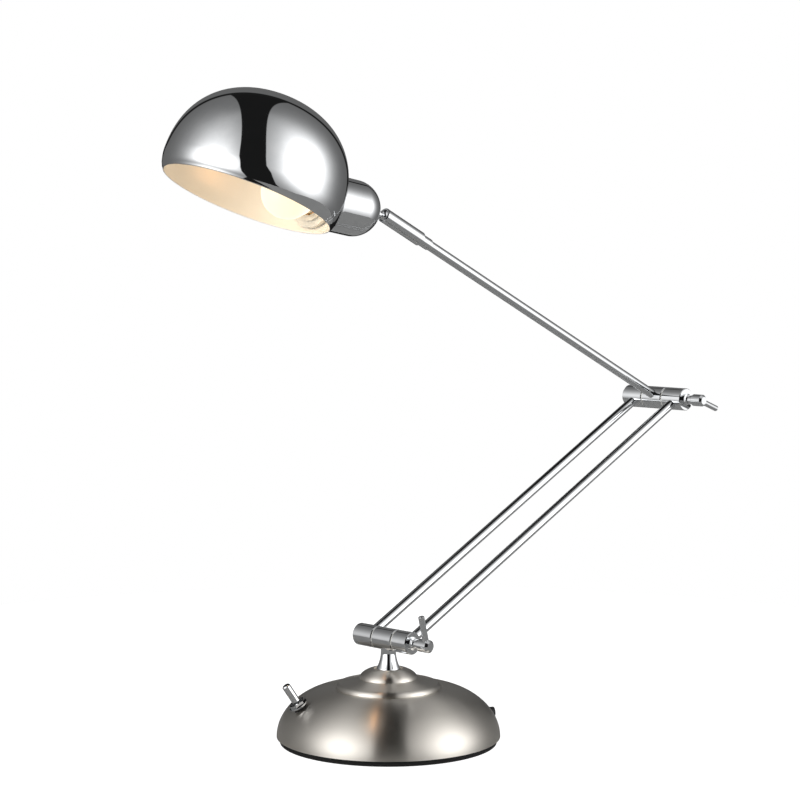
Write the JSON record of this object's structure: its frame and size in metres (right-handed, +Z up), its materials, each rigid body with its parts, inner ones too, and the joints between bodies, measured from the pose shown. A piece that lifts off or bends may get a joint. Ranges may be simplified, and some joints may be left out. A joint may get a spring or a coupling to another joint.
{
  "type": "swing arm desk lamp",
  "caption": "Desk lamp with a weighted round base, twin-rod lower arm, single upper arm and a domed metal shade on a tilting socket.",
  "frame": {"origin": "centre of the base's underside", "axes": "+Z up out of the base; both arm hinges turn about Y; at rest the lower arm leans to +X, the upper arm comes back to -X, and the clamp knobs are at the -Y ends"},
  "size_m": [0.6356, 0.2, 0.5726],
  "materials": {
    "chrome": "mirror polished chrome plate on steel",
    "satin_nickel": "spun and brushed nickel plate, satin",
    "zinc_steel": "zinc plated",
    "cast_iron": "rough casting",
    "felt_pad": "black foam rubber",
    "black_rubber": "matte",
    "black_plastic": "moulded",
    "nylon": "moulded",
    "white_plastic": "moulded, glossy",
    "brass": "turned",
    "bulb_glass": "blown, softly frosted",
    "clear_glass": "drawn",
    "tungsten": "wire"
  },
  "bodies": {
    "base": {"base_pad": "felt_pad", "base_plate": "zinc_steel", "base_weight": "cast_iron", "base_shell": "satin_nickel", "plate_screws": "zinc_steel", "weight_posts": "zinc_steel", "toggle_body": "black_plastic", "toggle_nut": "chrome", "cable_gland": "black_plastic", "terminal_block": "white_plastic", "base_washer": "nylon"},
    "toggle": {"toggle_lever": "chrome"},
    "neck": {"neck": "chrome", "neck_nipple": "chrome", "neck_washer": "zinc_steel", "nipple_nut": "brass", "lower_knuckle_middle": "chrome", "lower_washers": "nylon"},
    "lower_arm": {"lower_knuckle_near": "chrome", "lower_knuckle_far": "chrome", "lower_bolt": "chrome", "lower_spacer": "chrome", "rod_near": "chrome", "rod_far": "chrome", "upper_knuckle_near": "chrome", "upper_knuckle_far": "chrome", "upper_bolt": "chrome", "upper_spacer": "chrome"},
    "lower_clamp": {"lower_knob": "chrome", "lower_knob_lever": "chrome"},
    "upper_clamp": {"upper_knob": "chrome", "upper_knob_lever": "chrome"},
    "upper_arm": {"upper_knuckle_middle": "chrome", "upper_washers": "nylon", "upper_tube": "chrome", "tube_collar": "chrome", "tube_spigot": "chrome"},
    "sleeve": {"swivel_sleeve": "chrome", "ball_retainer": "chrome"},
    "stud": {"ball_stud": "chrome", "grip_ring": "black_rubber", "glide_ring": "nylon", "stud_nut": "brass"},
    "head": {"socket_cup": "chrome", "cup_collar": "chrome", "shade": "chrome", "lampholder_body": "white_plastic", "lampholder_ring": "white_plastic", "centre_contact": "brass", "shell_contact": "brass", "bulb_cap": "brass", "bulb_tip": "black_plastic", "bulb_glass": "bulb_glass", "filament_stem": "clear_glass", "filament": "tungsten"}
  },
  "joints": [
    {"name": "base_swivel", "type": "hinge", "parent": "base", "child": "neck", "pos_m": [0, 0, 0.07], "axis": [0, 0, 1], "range_deg": [-165, 165]},
    {"name": "switch_throw", "type": "hinge", "parent": "base", "child": "toggle", "pos_m": [-0.07707, 0.03431, 0.03857], "axis": [-0.4067, -0.9135, 0], "range_deg": [-11, 11]},
    {"name": "lower_hinge", "type": "hinge", "parent": "neck", "child": "lower_arm", "pos_m": [0, 0, 0.092], "axis": [0, -1, 0], "range_deg": [-25, 62]},
    {"name": "lower_clamp_turn", "type": "hinge", "parent": "lower_arm", "child": "lower_clamp", "pos_m": [0, -0.046, 0.092], "axis": [0, 1, 0], "range_deg": [-40, 80]},
    {"name": "upper_hinge", "type": "hinge", "parent": "lower_arm", "child": "upper_arm", "pos_m": [0.37732, 0, 0.28758], "axis": [0, -1, 0], "range_deg": [-105, 14]},
    {"name": "upper_clamp_turn", "type": "hinge", "parent": "lower_arm", "child": "upper_clamp", "pos_m": [0.37732, -0.055, 0.28758], "axis": [0, 1, 0], "range_deg": [-80, 40]},
    {"name": "sleeve_twist", "type": "hinge", "parent": "upper_arm", "child": "sleeve", "pos_m": [-0.0042, 0, 0.46793], "axis": [-0.9041, 0, 0.4274], "range_deg": [-120, 120]},
    {"name": "head_tilt", "type": "hinge", "parent": "sleeve", "child": "stud", "pos_m": [-0.0042, 0, 0.46793], "axis": [0, -1, 0], "range_deg": [-20, 50]},
    {"name": "shade_roll", "type": "hinge", "parent": "stud", "child": "head", "pos_m": [-0.0042, 0, 0.46793], "axis": [-0.9866, 0, 0.1633], "range_deg": [-120, 120]}
  ]
}
